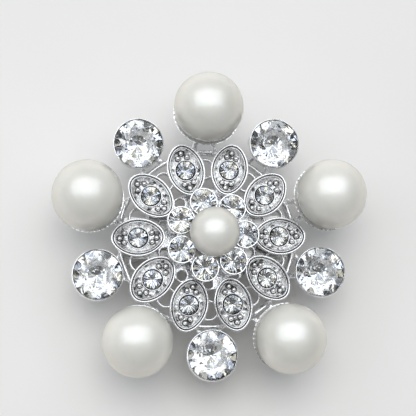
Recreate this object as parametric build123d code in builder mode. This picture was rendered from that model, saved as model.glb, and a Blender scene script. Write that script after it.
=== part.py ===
"""Jewelled flower hair clip, in millimetres.

A cast flower of ten oval petals, five pearls and five large stones stands on a sprung barrette.
The barrette's closing arm lies on the XY plane and the flower's axis is +Z, so the clip lies as it
does on a dressing table, flower upwards.  The arm turns about a pin along Y at its -X end, and two
sprung prongs at the +X end hold it shut.
"""

import os
from math import cos, radians, sin, sqrt, tan

from build123d import *

# ---------------------------------------------------------------- driving dimensions
# Stones and pearls, by their trade diameters
pearl_diameter = 12.0
centre_pearl_diameter = 8.4
stone_diameter = 8.3  # the five large stones round the edge
accent_diameter = 4.3  # the seven stones round the centre pearl
petal_stone_diameter = 3.2

# Proportions that every round stone is cut to, as shares of its diameter
crown_share = 0.17
girdle_share = 0.03
pavilion_share = 0.40
table_share = 0.56  # table width over stone width
culet_share = 0.03
facet_spread = 1.03  # facets start this much wider than the girdle, which they then scallop
crown_facets = 8
pavilion_facets = 16

# Petals
petal_count = 10
petal_length = 9.3
petal_width = 6.6
petal_height = 3.6  # at the petal's middle, above the frame
petal_tilt = 6.0  # degrees, outer end down
petal_gap = 1.0  # between neighbours, across their middles
petal_turn = 9.0  # degrees, the most that a petal is swung off its own radius
petal_rim = 0.5
petal_foot_share = 0.78  # foot outline over rim outline
dish_depth = 1.1
dish_floor_share = 0.84  # dish floor outline over dish mouth outline
collar_height = 0.4
collar_wall = 0.3
bead_radius = 0.42
bead_reach = 0.62  # bead row, as a share of the dish's half length
bead_spread = 1.15

# Settings
seat_clearance = 0.03  # round every stone
glue_gap = 0.05  # round every pearl
stone_cup_wall = 0.3
stone_cup_lip = 0.2  # bezel above the girdle
stone_cup_foot_radius = 3.0
stone_cup_shoulder = 0.8  # straight bezel starts this far below the girdle
stone_sink = 0.5  # girdle below the petals' rims
stone_gap = 0.9  # large stone's cup to petals
pearl_gap = 1.05  # pearl to petals
pearl_cup_wall = 0.5
pearl_cup_floor = 0.6
pearl_cup_reach = 0.87  # cup's mouth over the pearl's width
pearl_cup_foot_radius = 2.7
peg_radius = 0.55
peg_clearance = 0.05
pearl_peg_length = 3.4

# Centre rosette
accent_count = 7
accent_cup_wall = 0.2
accent_cup_gap = 0.3
accent_cup_floor = 0.3
accent_lip = 0.12
rosette_clearance = 0.25  # above the petals' inner ends
rosette_web = 0.6
rosette_stem_radius = 2.6
rosette_stem_foot = 4.2
centre_pearl_gap = 0.8  # to the stones round it
centre_cup_mouth = 2.2
centre_cup_foot_radius = 1.6
centre_peg_length = 2.4

# Back frame
frame_thickness = 1.2
hub_light_hole = 0.8  # one between every two petals' inner ends
hub_hole_wall = 0.4
hub_hole_shift = 0.1  # hole's middle outside the petals' inner ends
spoke_width = 1.4
petal_pad_length = 6.6
petal_pad_width = 4.4
ring_width = 0.8
ring_inset = 1.75  # outer wire ring inside the petals' outer ends
loop_radius = 1.9
loop_wire = 0.5
loop_ring_shift = 0.1  # loops stand this far outside the petals' ring
strut_width = 0.9
strut_angle = 8.0  # degrees each side of a cup's radius
pearl_pad_radius = 3.0
stone_pad_hole = 1.6
rivet_pad_radius = 2.4

# Barrette
clip_length = 31.0
clip_width = 7.4
clip_shift_x = 0.5
clip_shift_y = 0.5
arm_thickness = 0.9
hair_gap = 6.7
base_thickness = 0.8
side_clearance = 0.3  # arm to ears
ear_thickness = 0.6
ear_length = 3.6
ear_bottom = 0.15
pin_radius = 0.55
pin_clearance = 0.03
pin_head_radius = 0.9
pin_head_thickness = 0.3
barrel_wall = 0.6
arm_step = 1.3
arm_step_run = 1.4
arm_end_length = 6.0
arm_end_inset = 0.2  # arm's tip short of the base's end
rib_width = 1.0
rib_spacing = 3.2
rib_depth = 0.25
rib_end_margin = 3.0
rivet_spacing_share = 0.42  # of the bow, so that the heads stay under its arch
rivet_radius = 0.8
rivet_clearance = 0.02
rivet_head_radius = 1.3
rivet_head_height = 0.45
bow_end_margin = 2.9  # bow's end from the base's hinge end
bow_latch_gap = 2.5
bow_width = 4.4
bow_thickness = 0.35
bow_sag = 1.6
bow_tab = 1.6
hook_wall = 0.5
hook_reach = 0.6
hook_length = 1.2
hook_clearance = 0.05

# Latch
prong_width = 2.4
prong_thickness = 0.5
prong_spacing = 2.2  # between the two prongs' middle planes
prong_root_radius = 0.45
prong_root_clearance = 0.05
prong_root_drop = 0.7  # pivot below the base
prong_tip_height = 0.35  # above the table
barb_reach = 0.45
barb_clearance = 0.1
barb_land = 0.3
window_clearance = 0.15
window_end_clearance = 0.25
wing_reach = 2.4
wing_thickness = 0.45
wing_drop = 2.6  # wing's underside below the prong's pivot
wing_flange = 1.7
channel_lip = 0.3  # how far the roots' channels reach below their middles
channel_wall = 0.4

# ---------------------------------------------------------------- levels and radii from them
hinge_height = pin_radius + barrel_wall
base_bottom = arm_thickness + hair_gap
clip_height = base_bottom + base_thickness
frame_bottom = clip_height
frame_top = frame_bottom + frame_thickness
rim_height = frame_top + petal_height

half_step = 180 / petal_count
petal_ring = (petal_width + petal_gap) / (2 * sin(radians(half_step)))
petal_reach = (petal_length + petal_width) / 4


def edge_ring_radius(item_radius, gap):
    """Ring radius that puts an edge item between two petals, that gap from both."""
    reach = petal_reach + gap + item_radius
    across = petal_ring * sin(radians(half_step))
    return petal_ring * cos(radians(half_step)) + sqrt(reach**2 - across**2)


stone_cup_radius = stone_diameter / 2 + stone_cup_wall
stone_ring = edge_ring_radius(stone_cup_radius, stone_gap)
pearl_ring = edge_ring_radius(pearl_diameter / 2, pearl_gap)
edge_count = petal_count // 2
edge_step = 360 / edge_count

accent_cup_radius = accent_diameter / 2 + accent_cup_wall
accent_ring = (2 * accent_cup_radius + accent_cup_gap) / (2 * sin(radians(180 / accent_count)))

stone_girdle = rim_height - stone_sink
pearl_centre = frame_top + pearl_cup_floor + glue_gap + pearl_diameter / 2
petal_inner_rise = petal_length / 2 * sin(radians(petal_tilt))
rosette_bottom = rim_height + petal_inner_rise + rosette_clearance
accent_girdle = rosette_bottom + accent_cup_floor + (girdle_share + pavilion_share) * accent_diameter
rosette_top = rosette_bottom + rosette_web
accent_inner_edge = accent_ring - accent_diameter / 2
centre_pearl_reach = centre_pearl_diameter / 2 + centre_pearl_gap
centre_pearl_rise = sqrt(centre_pearl_reach**2 - accent_inner_edge**2)
centre_pearl_centre = accent_girdle + accent_lip + centre_pearl_rise

clip_left = clip_shift_x - clip_length / 2
clip_right = clip_shift_x + clip_length / 2
hinge_x = clip_left + ear_length / 2
arm_width = clip_width - 2 * (ear_thickness + side_clearance)
arm_tip = clip_right - arm_end_inset
window_middle = arm_tip - arm_end_length / 2
window_length = prong_width + 2 * window_end_clearance
window_width = prong_spacing + prong_thickness + 2 * window_clearance
prong_pivot_height = base_bottom - prong_root_drop
wing_height = prong_pivot_height - wing_drop
bow_left = clip_left + bow_end_margin
bow_right = window_middle - prong_width / 2 - bow_latch_gap
bow_middle = (bow_left + bow_right) / 2
rivet_spacing = rivet_spacing_share * (bow_right - bow_left)
latch_block_height = prong_root_drop + channel_lip
latch_block_width = prong_spacing + 2 * (prong_root_radius + prong_root_clearance + channel_wall)
rivet_height = base_thickness + frame_thickness


def save(part, name):
    """Writes one finished piece to its own STEP file, under its own name."""
    part.label = name
    export_step(part, f"parts/{name}.step")


def save_ring(part, name, places):
    """Writes one copy of a piece at each place, numbered from 1."""
    for number, place in enumerate(places, start=1):
        save(part.moved(place), f"{name}_{number:02d}")


# ---------------------------------------------------------------- stones
def make_stone(diameter):
    """Round cut stone, point down, the top of its girdle at the origin."""
    radius = diameter / 2
    crown = diameter * crown_share
    girdle = diameter * girdle_share
    pavilion = diameter * pavilion_share
    with BuildPart() as stone:
        with BuildSketch():
            RegularPolygon(radius * facet_spread, crown_facets, major_radius=False)
        with BuildSketch(Plane.XY.offset(crown)):
            RegularPolygon(radius * table_share, crown_facets, major_radius=False)
        loft()
        with BuildSketch():
            RegularPolygon(radius * facet_spread, pavilion_facets, major_radius=False)
        extrude(amount=-girdle)
        with BuildSketch(Plane.XY.offset(-girdle)):
            RegularPolygon(radius * facet_spread, pavilion_facets, major_radius=False)
        with BuildSketch(Plane.XY.offset(-girdle - pavilion)):
            RegularPolygon(radius * culet_share, pavilion_facets, major_radius=False)
        loft()
        with BuildSketch(Plane.XY.offset(-girdle - pavilion)):
            Circle(radius)
        extrude(amount=crown + girdle + pavilion, mode=Mode.INTERSECT)
    return stone.part


def make_seat(diameter):
    """Cutter for a stone's seat and the way in above it, the top of the girdle at the origin."""
    radius = diameter / 2 + seat_clearance
    bottom = -diameter * (girdle_share + pavilion_share) - seat_clearance
    facet_corner = diameter / 2 * facet_spread / cos(radians(180 / pavilion_facets))
    with BuildPart() as seat:
        with BuildSketch(Plane.XY.offset(-diameter * girdle_share - seat_clearance)):
            Circle(facet_corner + seat_clearance)
        with BuildSketch(Plane.XY.offset(bottom)):
            Circle(diameter / 2 * culet_share + seat_clearance)
        loft()
        with BuildSketch(Plane.XY.offset(bottom)):
            Circle(radius)
        extrude(amount=diameter * crown_share - bottom, mode=Mode.INTERSECT)
        with BuildSketch(Plane.XY.offset(-diameter * girdle_share - seat_clearance)):
            Circle(radius)
        extrude(amount=diameter * (girdle_share + crown_share))
    return seat.part


petal_stone_seat = make_seat(petal_stone_diameter)
stone_seat = make_seat(stone_diameter)
accent_seat = make_seat(accent_diameter)

# ---------------------------------------------------------------- petals
rim_plane = Plane(
    origin=(0, 0, petal_height),
    x_dir=(cos(radians(petal_tilt)), 0, -sin(radians(petal_tilt))),
    z_dir=(sin(radians(petal_tilt)), 0, cos(radians(petal_tilt))),
)
petal_stone_plane = rim_plane.offset(collar_height - dish_depth)
bead_row = bead_reach * (petal_length / 2 - petal_rim)
bead_places = [
    (side * (bead_row + (bead_radius if lane == 0 else 0)), lane * bead_spread)
    for side in (-1, 1)
    for lane in (-1, 0, 1)
]

with BuildPart() as petal:
    foot_drop = petal_height + petal_inner_rise
    with BuildSketch(rim_plane):
        Ellipse(petal_length / 2, petal_width / 2)
    with BuildSketch(rim_plane.offset(-foot_drop)):
        Ellipse(petal_length / 2 * petal_foot_share, petal_width / 2 * petal_foot_share)
    loft()
    split(bisect_by=Plane.XY, keep=Keep.TOP)
    mouth = (petal_length / 2 - petal_rim, petal_width / 2 - petal_rim)
    with BuildSketch(rim_plane):
        Ellipse(*mouth)
    with BuildSketch(rim_plane.offset(-dish_depth)):
        Ellipse(mouth[0] * dish_floor_share, mouth[1] * dish_floor_share)
    loft(mode=Mode.SUBTRACT)
    with BuildSketch(rim_plane.offset(-dish_depth)):
        Circle(petal_stone_diameter / 2 + collar_wall)
    extrude(amount=collar_height)
    with Locations(rim_plane.offset(-dish_depth).location):
        with Locations(*[(x, y, 0) for x, y in bead_places]):
            Sphere(bead_radius)
    add(petal_stone_seat.moved(petal_stone_plane.location), mode=Mode.SUBTRACT)

petal_places = []
for index in range(petal_count):
    bearing = index * 360 / petal_count
    turn = petal_turn * sin(radians(2 * bearing))
    middle = Vector(petal_ring, 0, frame_top).rotate(Axis.Z, bearing)
    petal_places.append(Location(tuple(middle), (0, 0, bearing + turn)))

petal_stone = make_stone(petal_stone_diameter).moved(petal_stone_plane.location)

# ---------------------------------------------------------------- large stones and their cups
stone = make_stone(stone_diameter)
stone_cup_height = stone_girdle - frame_top + stone_cup_lip
stone_shoulder_height = stone_cup_height - stone_cup_lip - stone_cup_shoulder
with BuildPart() as stone_cup:
    with BuildSketch():
        Circle(stone_cup_foot_radius)
    with BuildSketch(Plane.XY.offset(stone_shoulder_height)):
        Circle(stone_cup_radius)
    loft()
    with BuildSketch(Plane.XY.offset(stone_shoulder_height)):
        Circle(stone_cup_radius)
    extrude(amount=stone_cup_height - stone_shoulder_height)
    add(stone_seat.moved(Location((0, 0, stone_girdle - frame_top))), mode=Mode.SUBTRACT)
    with BuildSketch():
        Circle(stone_pad_hole)
    extrude(amount=stone_cup_height, mode=Mode.SUBTRACT)

stone_places = PolarLocations(stone_ring, edge_count, 3 * half_step).locations
pearl_places = PolarLocations(pearl_ring, edge_count, half_step).locations


# ---------------------------------------------------------------- pearls and their cups
def make_pearl(diameter, peg_length):
    """Round pearl about the origin, drilled from below for its peg."""
    with BuildPart() as bead:
        Sphere(diameter / 2)
        with BuildSketch(Plane.XY.offset(-diameter / 2)):
            Circle(peg_radius + peg_clearance)
        extrude(amount=peg_length + peg_clearance, mode=Mode.SUBTRACT)
    return bead.part


def make_pearl_cup(diameter, mouth_radius, wall, foot_radius, foot_drop, peg_length):
    """Bowl that holds a pearl centred on the origin, with a peg up its middle and a flat foot below."""
    inside = diameter / 2 + glue_gap
    outside = inside + wall
    mouth_height = -sqrt(inside**2 - mouth_radius**2)
    with BuildPart() as cup:
        Sphere(outside)
        with BuildSketch(Plane.XY.offset(mouth_height)):
            Circle(2 * outside)
        extrude(amount=2 * outside, mode=Mode.SUBTRACT)
        with BuildSketch(Plane.XY.offset(-foot_drop)):
            Circle(foot_radius)
        extrude(amount=foot_drop - diameter / 4)
        Sphere(inside, mode=Mode.SUBTRACT)
        with BuildSketch(Plane.XY.offset(-foot_drop)):
            Circle(peg_radius)
        extrude(amount=foot_drop - diameter / 2 + peg_length)
        split(bisect_by=Plane.XY.offset(-foot_drop), keep=Keep.TOP)
    return cup.part


pearl = make_pearl(pearl_diameter, pearl_peg_length)
pearl_cup = make_pearl_cup(
    pearl_diameter,
    pearl_cup_reach * pearl_diameter / 2,
    pearl_cup_wall,
    pearl_cup_foot_radius,
    pearl_centre - frame_top,
    pearl_peg_length,
)
centre_pearl = make_pearl(centre_pearl_diameter, centre_peg_length)
centre_cup = make_pearl_cup(
    centre_pearl_diameter,
    centre_cup_mouth,
    pearl_cup_wall,
    centre_cup_foot_radius,
    centre_pearl_centre - rosette_top,
    centre_peg_length,
)

# ---------------------------------------------------------------- centre rosette
accent_places = PolarLocations(accent_ring, accent_count).locations
with BuildPart() as rosette:
    with BuildSketch(Plane.XY.offset(frame_top)):
        Circle(rosette_stem_foot)
    with BuildSketch(Plane.XY.offset(rosette_bottom)):
        Circle(rosette_stem_radius)
    loft()
    with BuildSketch(Plane.XY.offset(rosette_bottom)):
        Circle(accent_ring)
    extrude(amount=rosette_web)
    with BuildSketch(Plane.XY.offset(rosette_bottom)):
        with PolarLocations(accent_ring, accent_count):
            Circle(accent_cup_radius)
    extrude(amount=accent_girdle + accent_lip - rosette_bottom)
    for place in accent_places:
        add(accent_seat.moved(Location((0, 0, accent_girdle)) * place), mode=Mode.SUBTRACT)
accent_stone = make_stone(accent_diameter)

# ---------------------------------------------------------------- back frame
hub_hole_ring = petal_ring - petal_length / 2 + hub_hole_shift
hub_radius = hub_hole_ring + hub_light_hole + hub_hole_wall
wire_ring = petal_ring + petal_length / 2 - ring_inset
loop_ring = petal_ring + loop_ring_shift
rivet_x = rivet_spacing / 2


struts = []  # from the wire ring to the middle of each edge cup
for index in range(edge_count):
    for side in (-1, 1):
        for cup_ring, first in ((pearl_ring, half_step), (stone_ring, 3 * half_step)):
            bearing = first + index * edge_step
            foot = Vector(wire_ring, 0, 0).rotate(Axis.Z, bearing + side * strut_angle)
            end = Vector(cup_ring, 0, 0).rotate(Axis.Z, bearing)
            struts.append((tuple(foot), tuple(end)))

with BuildPart() as back_frame:
    with BuildSketch(Plane.XY.offset(frame_bottom)):
        Circle(wire_ring + ring_width / 2)
        Circle(wire_ring - ring_width / 2, mode=Mode.SUBTRACT)
        Circle(hub_radius)
        with PolarLocations(petal_ring, petal_count):
            Ellipse(petal_pad_length / 2, petal_pad_width / 2)
        with PolarLocations((hub_radius + petal_ring) / 2, petal_count):
            Rectangle(petal_ring - hub_radius + petal_pad_width, spoke_width)
        with PolarLocations(loop_ring, petal_count, half_step):
            Circle(loop_radius)
        for foot, end in struts:
            with BuildLine():
                Line(foot, end)
            trace(line_width=strut_width)
        with PolarLocations(pearl_ring, edge_count, half_step):
            Circle(pearl_pad_radius)
        with PolarLocations(stone_ring, edge_count, 3 * half_step):
            Circle(stone_cup_foot_radius)
            Circle(stone_pad_hole, mode=Mode.SUBTRACT)
        with Locations((-rivet_x, clip_shift_y), (rivet_x, clip_shift_y)):
            Circle(rivet_pad_radius)
            Circle(rivet_radius + rivet_clearance, mode=Mode.SUBTRACT)
        with PolarLocations(loop_ring, petal_count, half_step):
            Circle(loop_radius - loop_wire, mode=Mode.SUBTRACT)
        with PolarLocations(hub_hole_ring, petal_count, half_step):
            Circle(hub_light_hole, mode=Mode.SUBTRACT)
    extrude(amount=frame_thickness)

# ---------------------------------------------------------------- barrette base
clip_middle = Plane.XZ.offset(-clip_shift_y)  # its x is +X and its y is +Z
ear_offset = clip_width / 2 - ear_thickness / 2
hook_gap = bow_thickness + hook_clearance
bow_ends = (bow_left + hook_length / 2, bow_right - hook_length / 2)

with BuildPart() as clip_base:
    with BuildSketch(Plane.XY.offset(base_bottom)):
        with Locations((clip_shift_x, clip_shift_y)):
            RectangleRounded(clip_length, clip_width, clip_width / 4)
        with Locations((-rivet_x, clip_shift_y), (rivet_x, clip_shift_y)):
            Circle(rivet_radius + rivet_clearance, mode=Mode.SUBTRACT)
    extrude(amount=base_thickness)
    for side in (-1, 1):
        with BuildSketch(clip_middle.offset(-side * ear_offset)):
            with BuildLine():
                Polyline(
                    (clip_left, base_bottom),
                    (clip_left + ear_length, base_bottom),
                    (hinge_x + hinge_height - ear_bottom, hinge_height),
                )
                ThreePointArc(
                    (hinge_x + hinge_height - ear_bottom, hinge_height),
                    (hinge_x, ear_bottom),
                    (hinge_x - hinge_height + ear_bottom, hinge_height),
                )
                Line((hinge_x - hinge_height + ear_bottom, hinge_height), (clip_left, base_bottom))
            make_face()
            with Locations((hinge_x, hinge_height)):
                Circle(pin_radius + pin_clearance, mode=Mode.SUBTRACT)
        extrude(amount=ear_thickness / 2, both=True)
    for hook_x in bow_ends:
        for side in (-1, 1):
            wall_y = clip_shift_y + side * (bow_width / 2 + hook_clearance + hook_wall / 2)
            with BuildSketch(Plane.XY.offset(base_bottom)):
                with Locations((hook_x, wall_y)):
                    Rectangle(hook_length, hook_wall)
            extrude(amount=-hook_gap - hook_wall)
            lip_y = wall_y - side * (hook_wall / 2 + hook_reach / 2 - hook_clearance)
            with BuildSketch(Plane.XY.offset(base_bottom - hook_gap)):
                with Locations((hook_x, lip_y)):
                    Rectangle(hook_length, hook_reach)
            extrude(amount=-hook_wall)
    with BuildSketch(Plane.XY.offset(base_bottom)):
        with Locations((window_middle, clip_shift_y)):
            Rectangle(prong_width, latch_block_width)
    extrude(amount=-latch_block_height)
    for side in (-1, 1):
        with BuildSketch(Plane.YZ.offset(window_middle - prong_width)):
            with Locations((clip_shift_y + side * prong_spacing / 2, prong_pivot_height)):
                Circle(prong_root_radius + prong_root_clearance)
        extrude(amount=2 * prong_width, mode=Mode.SUBTRACT)

# ---------------------------------------------------------------- closing arm
step_end = arm_tip - arm_end_length
step_start = step_end - arm_step_run
lean = arm_thickness * tan(radians(45) / 2)

with BuildPart() as clip_arm:
    with BuildSketch(clip_middle):
        with BuildLine():
            Polyline(
                (hinge_x, 0),
                (step_start, 0),
                (step_end, arm_step),
                (arm_tip, arm_step),
                (arm_tip, arm_step + arm_thickness),
                (step_end - lean, arm_step + arm_thickness),
                (step_start - lean, arm_thickness),
                (hinge_x, arm_thickness),
                close=True,
            )
        make_face()
        with Locations((hinge_x, hinge_height)):
            Circle(hinge_height)
            Circle(pin_radius + pin_clearance, mode=Mode.SUBTRACT)
    extrude(amount=arm_width / 2, both=True)
    with BuildSketch():
        with Locations(((hinge_x - hinge_height + arm_tip) / 2, clip_shift_y)):
            RectangleRounded(arm_tip - hinge_x + hinge_height, arm_width, arm_width / 3)
        with Locations((hinge_x, clip_shift_y)):
            Rectangle(2 * arm_width, arm_width)
        with Locations((window_middle, clip_shift_y)):
            Rectangle(window_length, window_width, mode=Mode.SUBTRACT)
    extrude(amount=2 * hinge_height + arm_step, mode=Mode.INTERSECT)
    rib_start = hinge_x + rib_end_margin
    rib_end = step_start - rib_end_margin
    for side in (-1, 1):
        with BuildSketch():
            with Locations(((rib_start + rib_end) / 2, clip_shift_y + side * rib_spacing / 2)):
                SlotOverall(rib_end - rib_start, rib_width)
        extrude(amount=rib_depth, mode=Mode.SUBTRACT)

# ---------------------------------------------------------------- tension bow
with BuildPart() as tension_bow:
    with BuildSketch(clip_middle):
        with BuildLine():
            left_top = (bow_left + bow_tab, base_bottom)
            right_top = (bow_right - bow_tab, base_bottom)
            Polyline(left_top, (bow_left, base_bottom), (bow_left, base_bottom - bow_thickness),
                     (bow_left + bow_tab, base_bottom - bow_thickness))
            ThreePointArc(
                (bow_left + bow_tab, base_bottom - bow_thickness),
                (bow_middle, base_bottom - bow_thickness - bow_sag),
                (bow_right - bow_tab, base_bottom - bow_thickness),
            )
            Polyline((bow_right - bow_tab, base_bottom - bow_thickness),
                     (bow_right, base_bottom - bow_thickness), (bow_right, base_bottom), right_top)
            ThreePointArc(right_top, (bow_middle, base_bottom - bow_sag), left_top)
        make_face()
    extrude(amount=bow_width / 2, both=True)

# ---------------------------------------------------------------- latch prongs
barb_top = arm_step - barb_clearance
wing_end = prong_thickness / 2 + wing_reach


def make_prong(side):
    """Sprung prong: a rolled root, a leg with an outward barb, and a wing to squeeze."""
    middle = clip_shift_y + side * prong_spacing / 2
    face = prong_thickness / 2
    with BuildPart() as prong:
        with BuildSketch(Plane.YZ.offset(window_middle)):
            with Locations((middle, prong_pivot_height)):
                Circle(prong_root_radius)
            with BuildLine():
                Polyline(
                    (middle - side * face, prong_pivot_height),
                    (middle - side * face, prong_tip_height),
                    (middle + side * face, prong_tip_height),
                    (middle + side * (face + barb_reach), barb_top - barb_land),
                    (middle + side * (face + barb_reach), barb_top),
                    (middle + side * face, barb_top),
                    (middle + side * face, prong_pivot_height),
                    close=True,
                )
            make_face()
            with BuildLine():
                Polyline(
                    (middle, wing_height),
                    (middle + side * wing_end, wing_height),
                    (middle + side * wing_end, wing_height - wing_flange / 2),
                    (middle + side * (wing_end + wing_thickness), wing_height - wing_flange / 2),
                    (middle + side * (wing_end + wing_thickness), wing_height + wing_flange / 2),
                    (middle + side * wing_end, wing_height + wing_flange / 2),
                    (middle + side * wing_end, wing_height + wing_thickness),
                    (middle, wing_height + wing_thickness),
                    close=True,
                )
            make_face()
        extrude(amount=prong_width / 2, both=True)
    return prong.part


# ---------------------------------------------------------------- hinge pin and rivets
with BuildPart() as hinge_pin:
    with BuildSketch(clip_middle):
        with Locations((hinge_x, hinge_height)):
            Circle(pin_radius)
    extrude(amount=clip_width / 2, both=True)
    for side in (-1, 1):
        with BuildSketch(clip_middle.offset(side * clip_width / 2)):
            with Locations((hinge_x, hinge_height)):
                Circle(pin_head_radius)
        extrude(amount=side * pin_head_thickness)

with BuildPart() as clip_rivets:
    with Locations(*[(side * rivet_x, clip_shift_y, base_bottom) for side in (-1, 1)]):
        Cylinder(rivet_radius, rivet_height, align=(Align.CENTER, Align.CENTER, Align.MIN))
        Cylinder(rivet_head_radius, rivet_head_height, align=(Align.CENTER, Align.CENTER, Align.MAX))

# ---------------------------------------------------------------- writing the pieces
os.makedirs("parts", exist_ok=True)

save(back_frame.part, "back_frame")
save_ring(petal.part, "petal", petal_places)
save_ring(petal_stone, "petal_stone", petal_places)
frame_level = Location((0, 0, frame_top))
save_ring(stone_cup.part.moved(frame_level), "edge_stone_cup", stone_places)
save_ring(stone.moved(Location((0, 0, stone_girdle))), "edge_stone", stone_places)
pearl_level = Location((0, 0, pearl_centre))
save_ring(pearl_cup.moved(pearl_level), "edge_pearl_cup", pearl_places)
save_ring(pearl.moved(pearl_level), "edge_pearl", pearl_places)
save(rosette.part, "centre_rosette")
save_ring(accent_stone.moved(Location((0, 0, accent_girdle))), "accent_stone", accent_places)
centre_level = Location((0, 0, centre_pearl_centre))
save(centre_cup.moved(centre_level), "centre_pearl_cup")
save(centre_pearl.moved(centre_level), "centre_pearl")
save(clip_base.part, "clip_base")
save(clip_arm.part, "clip_arm")
save(tension_bow.part, "tension_bow")
save(make_prong(1), "latch_prong_upper")
save(make_prong(-1), "latch_prong_lower")
save(hinge_pin.part, "hinge_pin")
save(clip_rivets.part, "clip_rivets")
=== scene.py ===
# %% [markdown]
# # A jewelled flower hair clip
#
# The clip is costume jewellery: a cast, silver-plated flower of ten oval petals, with five large
# cut stones and five pearls round its edge, and a ring of seven small stones under one more pearl
# in the middle. Behind it hides a small sprung barrette. This script takes the clip's sound
# mechanical model as a fixed frame, and gives every piece the surface that it has in the hand.
#
# Lengths are written in millimetres and turned into metres with `mm`.

# %% Load the frame
from math import acos, asin, atan2, cos, pi, radians, sin, sqrt, tau

import bmesh
import bpy
from mathutils import Matrix, Vector, noise


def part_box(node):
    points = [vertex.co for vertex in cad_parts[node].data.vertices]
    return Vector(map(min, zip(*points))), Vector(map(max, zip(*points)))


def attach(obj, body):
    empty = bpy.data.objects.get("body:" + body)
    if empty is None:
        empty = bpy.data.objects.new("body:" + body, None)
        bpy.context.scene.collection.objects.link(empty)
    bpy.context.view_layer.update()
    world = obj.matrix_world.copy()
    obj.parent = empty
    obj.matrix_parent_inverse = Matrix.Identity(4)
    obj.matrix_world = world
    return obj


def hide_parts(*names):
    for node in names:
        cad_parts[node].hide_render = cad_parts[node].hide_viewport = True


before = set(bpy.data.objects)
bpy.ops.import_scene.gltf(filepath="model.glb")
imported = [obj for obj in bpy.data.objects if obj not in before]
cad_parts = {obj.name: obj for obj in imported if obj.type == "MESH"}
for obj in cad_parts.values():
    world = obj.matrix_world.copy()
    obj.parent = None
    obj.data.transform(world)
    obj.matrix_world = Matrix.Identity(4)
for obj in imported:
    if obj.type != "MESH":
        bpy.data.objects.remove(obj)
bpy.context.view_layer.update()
mm = 0.001
print("nodes in the frame:", len(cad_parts))

# %% [markdown]
# ## Measuring the frame
#
# Each piece asks the frame where its node stands. A node's box is enough: the middle of the box
# gives the place, and its top and bottom give the levels that the pieces sit on.

# %% Places and levels
def corners(node):
    """Lowest and highest corner of a node, in millimetres."""
    low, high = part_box(node)
    return Vector(low) / mm, Vector(high) / mm


def middle(node):
    """The middle of a node's box, in millimetres."""
    low, high = corners(node)
    return (low + high) / 2


def numbered(stem):
    """The names of a repeated node, in order."""
    return sorted(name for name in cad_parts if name[:-3] == stem)


frame_top = corners("back_frame")[1].z
petals = numbered("petal")
petal_width = corners("petal_01")[1].y - corners("petal_01")[0].y
petal_tilt = radians(6)
petal_length = (corners("petal_01")[1].x - corners("petal_01")[0].x) / cos(petal_tilt)
petal_rim = corners("petal_01")[1].z - petal_length / 2 * sin(petal_tilt)
petal_turn = radians(9)
print(f"petal {petal_length:.2f} x {petal_width:.2f} mm, rim at {petal_rim:.2f} mm")

# %% [markdown]
# ## Skins made from rings
#
# Almost everything on this clip was turned, stamped or cast from something turned, so almost
# every mesh can be made the same way: a stack of rings of points, joined ring to ring. A ring may
# be a circle, or the outline of a petal, or anything else with the same number of points.
#
# A screw modifier can spin a profile for this. Writing the rings out is as short, and lets each
# ring carry its own small irregularities, which is what makes a cast piece look cast.

# %% Ring helpers
def skin(rings, close_ends=True):
    """A closed bmesh through rings of points, each with the same number of points."""
    shell = bmesh.new()
    rows = [[shell.verts.new(point) for point in ring] for ring in rings]
    for lower, upper in zip(rows, rows[1:]):
        for here in range(len(lower)):
            after = (here + 1) % len(lower)
            shell.faces.new((lower[here], lower[after], upper[after], upper[here]))
    if close_ends:
        shell.faces.new(list(reversed(rows[0])))
        shell.faces.new(rows[-1])
    return shell


def circle(radius, height, count=64, lift=None):
    """A level ring. lift, if given, says how much higher the ring stands at each angle."""
    ring = []
    for step in range(count):
        angle = tau * step / count
        rise = lift(angle) if lift else 0
        ring.append(Vector((radius * cos(angle), radius * sin(angle), height + rise)))
    return ring


print("a ring of 8 points, 1 mm in radius, starts at", circle(1, 0, 8)[0].to_tuple(2))

# %% [markdown]
# ## From rings to a piece
#
# A finished skin becomes a mesh in metres. Its faces are shaded smooth, and its edges are creased
# only where the surface turns sharply, so that a turned lip stays crisp and a bowl stays round.
#
# `add_piece` then says three things about the piece: the body that it moves with, the nodes of the
# frame that it stands for, and the finish that it is given. A piece that stands for a node hides
# it, and the node goes on doing the mechanical work.

# %% Meshes and pieces
def to_mesh(shell, name, place=Matrix.Identity(4), sharp=35):
    """Turns a bmesh in millimetres into a smooth mesh in metres, creased where it turns sharply."""
    mesh = bpy.data.meshes.new(name)
    bmesh.ops.recalc_face_normals(shell, faces=shell.faces)
    shell.to_mesh(mesh)
    shell.free()
    mesh.transform(Matrix.Diagonal((mm, mm, mm, 1)) @ place)
    mesh.shade_smooth()
    mesh.set_sharp_from_angle(angle=radians(sharp))
    return mesh


def add_piece(name, mesh, materials, nodes=(), body="flower"):
    """Puts a mesh in the scene as a piece that rides on a body and may stand for nodes."""
    piece = bpy.data.objects.new(name, mesh)
    bpy.context.scene.collection.objects.link(piece)
    for material in materials:
        mesh.materials.append(material)
    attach(piece, body)
    if nodes:
        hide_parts(*nodes)
    return piece


# %% [markdown]
# ## A workbench for materials
#
# Every finish below is a Principled shader with a few procedural patterns behind it. A few helpers
# keep the recipes short. Patterns are laid out in object space and scaled so that their
# size is given in millimetres, so a grain of 0.3 really is 0.3 mm on the piece.

# %% Material helpers
def new_material(name, **values):
    """A material with one Principled shader, its plain values set on the shader's own sockets."""
    material = bpy.data.materials.new(name)
    material.use_nodes = True
    shader = material.node_tree.nodes["Principled BSDF"]
    for socket, value in values.items():
        shader.inputs[socket.replace("_", " ")].default_value = value
    return material, material.node_tree, shader


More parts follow.
